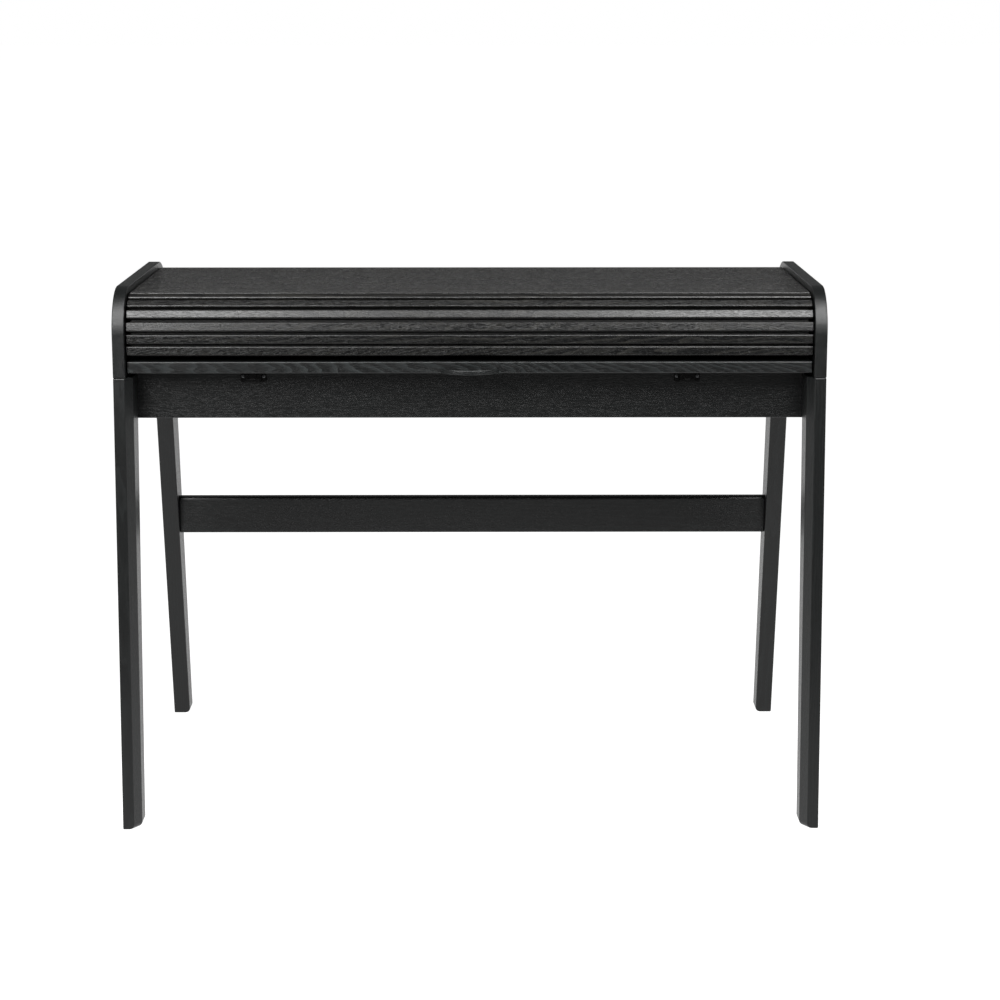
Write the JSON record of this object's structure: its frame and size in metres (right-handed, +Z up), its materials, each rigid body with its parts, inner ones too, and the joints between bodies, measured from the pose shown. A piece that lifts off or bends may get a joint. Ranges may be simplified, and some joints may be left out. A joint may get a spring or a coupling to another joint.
{
  "type": "roll top desk",
  "caption": "Roll top desk with a slatted tambour curtain, a sliding worktop and splayed legs.",
  "frame": {"origin": "on the floor, under the middle of the closed desk", "axes": "+X across the desk to the sitter's right, +Y to the back, +Z up"},
  "size_m": [1.1, 0.7, 0.85],
  "materials": {
    "stained_frame": "black-stained ash, satin",
    "painted_ply": "black-painted plywood, matt",
    "stained_worktop": "black-stained ash veneer, satin",
    "stained_slats": "black-stained open-grain ash, satin",
    "black_steel": "black powder-coated steel",
    "plated_screw": "zinc-plated steel"
  },
  "bodies": {
    "root": {"side_panel_left": "stained_frame", "side_panel_right": "stained_frame", "front_leg_left": "stained_frame", "front_leg_right": "stained_frame", "back_leg_left": "stained_frame", "back_leg_right": "stained_frame", "side_rail_left": "stained_frame", "side_rail_right": "stained_frame", "front_apron": "stained_frame", "back_panel": "painted_ply", "stretcher": "stained_frame", "bottom_panel": "painted_ply", "compartment_floor": "painted_ply", "compartment_back": "painted_ply", "dividers": "painted_ply", "runner_left": "painted_ply", "runner_right": "painted_ply", "catch_left": "black_steel", "catch_right": "black_steel", "catch_screws": "plated_screw", "connector_bolts": "black_steel"},
    "worktop": {"worktop": "stained_worktop", "worktop_stops": "painted_ply", "handle": "stained_worktop", "strike_left": "black_steel", "strike_right": "black_steel"},
    "slat_01": {"slat_01": "stained_slats"},
    "slat_02": {"slat_02": "stained_slats"},
    "slat_03": {"slat_03": "stained_slats"},
    "slat_04": {"slat_04": "stained_slats"},
    "slat_05": {"slat_05": "stained_slats"},
    "slat_06": {"slat_06": "stained_slats"},
    "slat_07": {"slat_07": "stained_slats"},
    "slat_08": {"slat_08": "stained_slats"},
    "slat_09": {"slat_09": "stained_slats"},
    "slat_10": {"slat_10": "stained_slats"},
    "slat_11": {"slat_11": "stained_slats"},
    "slat_12": {"slat_12": "stained_slats"},
    "slat_13": {"slat_13": "stained_slats"},
    "slat_14": {"slat_14": "stained_slats"},
    "slat_15": {"slat_15": "stained_slats"},
    "slat_16": {"slat_16": "stained_slats"},
    "slat_17": {"slat_17": "stained_slats"},
    "slat_18": {"slat_18": "stained_slats"},
    "slat_19": {"slat_19": "stained_slats"},
    "slat_20": {"slat_20": "stained_slats"},
    "slat_21": {"slat_21": "stained_slats"},
    "slat_22": {"slat_22": "stained_slats"},
    "slat_23": {"slat_23": "stained_slats"},
    "slat_24": {"slat_24": "stained_slats"},
    "slat_25": {"slat_25": "stained_slats"},
    "slat_26": {"slat_26": "stained_slats"},
    "slat_27": {"slat_27": "stained_slats"},
    "slat_28": {"slat_28": "stained_slats"},
    "slat_29": {"slat_29": "stained_slats"},
    "slat_30": {"slat_30": "stained_slats"},
    "slat_31": {"slat_31": "stained_slats"},
    "slat_32": {"slat_32": "stained_slats"},
    "slat_33": {"slat_33": "stained_slats"}
  },
  "joints": [
    {"name": "worktop_slide", "type": "slide", "parent": "root", "child": "worktop", "axis": [0, -1, 0], "range_m": [0, 0.216]},
    {"name": "slat_01_travel", "type": "hinge", "parent": "root", "child": "slat_01", "pos_m": [0, -0.17284, 0.71284], "axis": [-1, 0, 0], "range_deg": [0, 90]},
    {"name": "slat_02_travel", "type": "hinge", "parent": "root", "child": "slat_02", "pos_m": [0, -0.17284, 0.71284], "axis": [-1, 0, 0], "range_deg": [0, 90]},
    {"name": "slat_03_travel", "type": "hinge", "parent": "root", "child": "slat_03", "pos_m": [0, -0.16727, 0.68972], "axis": [-1, 0, 0], "range_deg": [0, 77.72]},
    {"name": "slat_04_travel", "type": "hinge", "parent": "root", "child": "slat_04", "pos_m": [0, -0.15827, 0.63219], "axis": [-1, 0, 0], "range_deg": [0, 57.88]},
    {"name": "slat_05_travel", "type": "hinge", "parent": "root", "child": "slat_05", "pos_m": [0, -0.14927, 0.51685], "axis": [-1, 0, 0], "range_deg": [0, 38.05]},
    {"name": "slat_06_travel", "type": "hinge", "parent": "root", "child": "slat_06", "pos_m": [0, -0.14027, 0.15786], "axis": [-1, 0, 0], "range_deg": [0, 18.22]},
    {"name": "slat_07_travel", "type": "slide", "parent": "root", "child": "slat_07", "axis": [0, 1, 0], "range_m": [0, 0.216]},
    {"name": "slat_08_travel", "type": "slide", "parent": "root", "child": "slat_08", "axis": [0, 1, 0], "range_m": [0, 0.216]},
    {"name": "slat_09_travel", "type": "slide", "parent": "root", "child": "slat_09", "axis": [0, 1, 0], "range_m": [0, 0.216]},
    {"name": "slat_10_travel", "type": "slide", "parent": "root", "child": "slat_10", "axis": [0, 1, 0], "range_m": [0, 0.216]},
    {"name": "slat_11_travel", "type": "slide", "parent": "root", "child": "slat_11", "axis": [0, 1, 0], "range_m": [0, 0.216]},
    {"name": "slat_12_travel", "type": "slide", "parent": "root", "child": "slat_12", "axis": [0, 1, 0], "range_m": [0, 0.216]},
    {"name": "slat_13_travel", "type": "slide", "parent": "root", "child": "slat_13", "axis": [0, 1, 0], "range_m": [0, 0.216]},
    {"name": "slat_14_travel", "type": "slide", "parent": "root", "child": "slat_14", "axis": [0, 1, 0], "range_m": [0, 0.216]},
    {"name": "slat_15_travel", "type": "hinge", "parent": "root", "child": "slat_15", "pos_m": [0, 0.01323, -34.66153], "axis": [-1, 0, 0], "range_deg": [0, 0.3497]},
    {"name": "slat_16_travel", "type": "hinge", "parent": "root", "child": "slat_16", "pos_m": [0, 0.02223, -0.0646], "axis": [-1, 0, 0], "range_deg": [0, 13.74]},
    {"name": "slat_17_travel", "type": "hinge", "parent": "root", "child": "slat_17", "pos_m": [0, 0.03123, 0.38305], "axis": [-1, 0, 0], "range_deg": [0, 27.14]},
    {"name": "slat_18_travel", "type": "hinge", "parent": "root", "child": "slat_18", "pos_m": [0, 0.04023, 0.53625], "axis": [-1, 0, 0], "range_deg": [0, 40.53]},
    {"name": "slat_19_travel", "type": "hinge", "parent": "root", "child": "slat_19", "pos_m": [0, 0.04923, 0.61392], "axis": [-1, 0, 0], "range_deg": [0, 53.92]},
    {"name": "slat_20_travel", "type": "hinge", "parent": "root", "child": "slat_20", "pos_m": [0, 0.05823, 0.66074], "axis": [-1, 0, 0], "range_deg": [0, 67.32]},
    {"name": "slat_21_travel", "type": "hinge", "parent": "root", "child": "slat_21", "pos_m": [0, 0.06723, 0.69173], "axis": [-1, 0, 0], "range_deg": [0, 80.71]},
    {"name": "slat_22_travel", "type": "hinge", "parent": "root", "child": "slat_22", "pos_m": [0, 0.07623, 0.71333], "axis": [-1, 0, 0], "range_deg": [0, 94.11]},
    {"name": "slat_23_travel", "type": "hinge", "parent": "root", "child": "slat_23", "pos_m": [0, 0.08523, 0.72877], "axis": [-1, 0, 0], "range_deg": [0, 107.5]},
    {"name": "slat_24_travel", "type": "hinge", "parent": "root", "child": "slat_24", "pos_m": [0, 0.09423, 0.73982], "axis": [-1, 0, 0], "range_deg": [0, 120.89]},
    {"name": "slat_25_travel", "type": "hinge", "parent": "root", "child": "slat_25", "pos_m": [0, 0.10323, 0.74751], "axis": [-1, 0, 0], "range_deg": [0, 134.29]},
    {"name": "slat_26_travel", "type": "hinge", "parent": "root", "child": "slat_26", "pos_m": [0, 0.11223, 0.75246], "axis": [-1, 0, 0], "range_deg": [0, 147.68]},
    {"name": "slat_27_travel", "type": "hinge", "parent": "root", "child": "slat_27", "pos_m": [0, 0.121, 0.755], "axis": [-1, 0, 0], "range_deg": [0, 160.73]},
    {"name": "slat_28_travel", "type": "hinge", "parent": "root", "child": "slat_28", "pos_m": [0, 0.121, 0.755], "axis": [-1, 0, 0], "range_deg": [0, 160.73]},
    {"name": "slat_29_travel", "type": "hinge", "parent": "root", "child": "slat_29", "pos_m": [0, 0.11572, 0.75628], "axis": [-1, 0, 0], "range_deg": [0, 152.86]},
    {"name": "slat_30_travel", "type": "hinge", "parent": "root", "child": "slat_30", "pos_m": [0, 0.10672, 0.76027], "axis": [-1, 0, 0], "range_deg": [0, 139.47]},
    {"name": "slat_31_travel", "type": "hinge", "parent": "root", "child": "slat_31", "pos_m": [0, 0.09772, 0.76684], "axis": [-1, 0, 0], "range_deg": [0, 126.08]},
    {"name": "slat_32_travel", "type": "hinge", "parent": "root", "child": "slat_32", "pos_m": [0, 0.08872, 0.7765], "axis": [-1, 0, 0], "range_deg": [0, 112.68]},
    {"name": "slat_33_travel", "type": "hinge", "parent": "root", "child": "slat_33", "pos_m": [0, 0.07972, 0.79008], "axis": [-1, 0, 0], "range_deg": [0, 99.29]}
  ],
  "couplings": [
    {"joint": "slat_01_travel", "follows": "worktop_slide", "rad_per_m": 7.2722},
    {"joint": "slat_02_travel", "follows": "worktop_slide", "rad_per_m": 7.2722},
    {"joint": "slat_03_travel", "follows": "worktop_slide", "rad_per_m": 6.2795},
    {"joint": "slat_04_travel", "follows": "worktop_slide", "rad_per_m": 4.6769},
    {"joint": "slat_05_travel", "follows": "worktop_slide", "rad_per_m": 3.0744},
    {"joint": "slat_06_travel", "follows": "worktop_slide", "rad_per_m": 1.4718},
    {"joint": "slat_07_travel", "follows": "worktop_slide", "ratio": 1},
    {"joint": "slat_08_travel", "follows": "worktop_slide", "ratio": 1},
    {"joint": "slat_09_travel", "follows": "worktop_slide", "ratio": 1},
    {"joint": "slat_10_travel", "follows": "worktop_slide", "ratio": 1},
    {"joint": "slat_11_travel", "follows": "worktop_slide", "ratio": 1},
    {"joint": "slat_12_travel", "follows": "worktop_slide", "ratio": 1},
    {"joint": "slat_13_travel", "follows": "worktop_slide", "ratio": 1},
    {"joint": "slat_14_travel", "follows": "worktop_slide", "ratio": 1},
    {"joint": "slat_15_travel", "follows": "worktop_slide", "rad_per_m": 0.028174},
    {"joint": "slat_16_travel", "follows": "worktop_slide", "rad_per_m": 1.1104},
    {"joint": "slat_17_travel", "follows": "worktop_slide", "rad_per_m": 2.1927},
    {"joint": "slat_18_travel", "follows": "worktop_slide", "rad_per_m": 3.2749},
    {"joint": "slat_19_travel", "follows": "worktop_slide", "rad_per_m": 4.3572},
    {"joint": "slat_20_travel", "follows": "worktop_slide", "rad_per_m": 5.4394},
    {"joint": "slat_21_travel", "follows": "worktop_slide", "rad_per_m": 6.5217},
    {"joint": "slat_22_travel", "follows": "worktop_slide", "rad_per_m": 7.6039},
    {"joint": "slat_23_travel", "follows": "worktop_slide", "rad_per_m": 8.6862},
    {"joint": "slat_24_travel", "follows": "worktop_slide", "rad_per_m": 9.7684},
    {"joint": "slat_25_travel", "follows": "worktop_slide", "rad_per_m": 10.851},
    {"joint": "slat_26_travel", "follows": "worktop_slide", "rad_per_m": 11.933},
    {"joint": "slat_27_travel", "follows": "worktop_slide", "rad_per_m": 12.987},
    {"joint": "slat_28_travel", "follows": "worktop_slide", "rad_per_m": 12.987},
    {"joint": "slat_29_travel", "follows": "worktop_slide", "rad_per_m": 12.352},
    {"joint": "slat_30_travel", "follows": "worktop_slide", "rad_per_m": 11.269},
    {"joint": "slat_31_travel", "follows": "worktop_slide", "rad_per_m": 10.187},
    {"joint": "slat_32_travel", "follows": "worktop_slide", "rad_per_m": 9.105},
    {"joint": "slat_33_travel", "follows": "worktop_slide", "rad_per_m": 8.0227}
  ]
}
